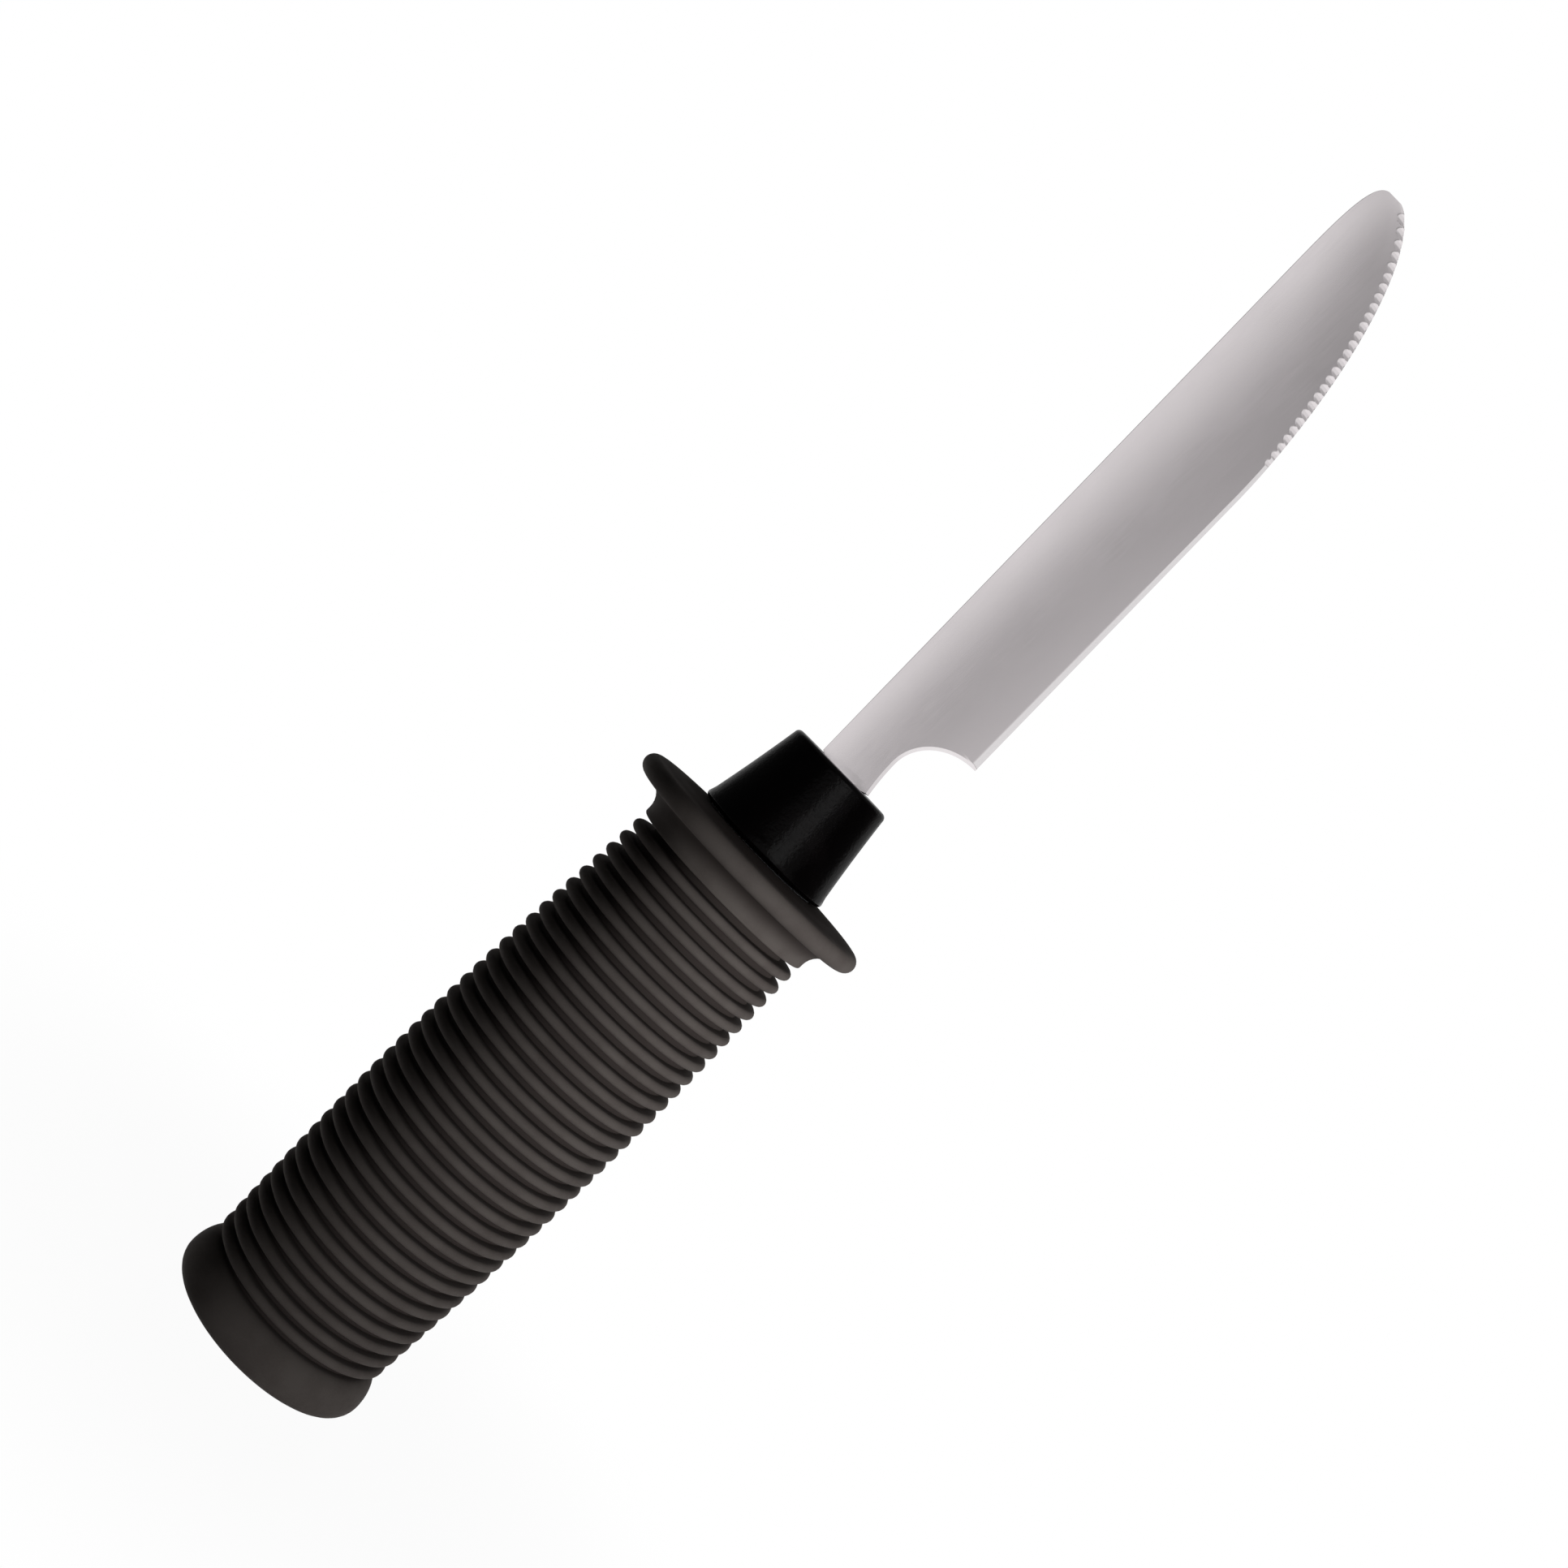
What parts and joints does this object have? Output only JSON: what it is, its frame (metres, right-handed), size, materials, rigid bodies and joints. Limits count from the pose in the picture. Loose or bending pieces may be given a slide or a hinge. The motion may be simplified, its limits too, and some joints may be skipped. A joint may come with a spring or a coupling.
{
  "type": "adaptive table knife",
  "caption": "Table knife with a thick ribbed rubber grip, finger guard and tapered collar, and a round-tipped steel blade serrated along its belly.",
  "frame": {"origin": "centre of the flat end of the grip, where the knife stands", "axes": "+Z along the grip towards the tip of the blade, +X towards the cutting edge, -Y towards the fluted face"},
  "size_m": [0.0456, 0.0456, 0.2463],
  "materials": {
    "blade_steel": "satin stainless steel, brighter on the ground edge and flutes",
    "collar_plastic": "near-black hard plastic with a fine moulded grain, semi-gloss",
    "pin_steel": "plain steel rod",
    "core_plastic": "plain dark moulded plastic",
    "grip_rubber": "matte dark warm grey rubber",
    "plug_plastic": "black moulded plastic, matte"
  },
  "bodies": {
    "root": {"blade": "blade_steel", "collar": "collar_plastic", "tang_pin_upper": "pin_steel", "tang_pin_lower": "pin_steel", "core_tube": "core_plastic", "grip_sleeve": "grip_rubber", "end_plug": "plug_plastic"}
  },
  "joints": []
}
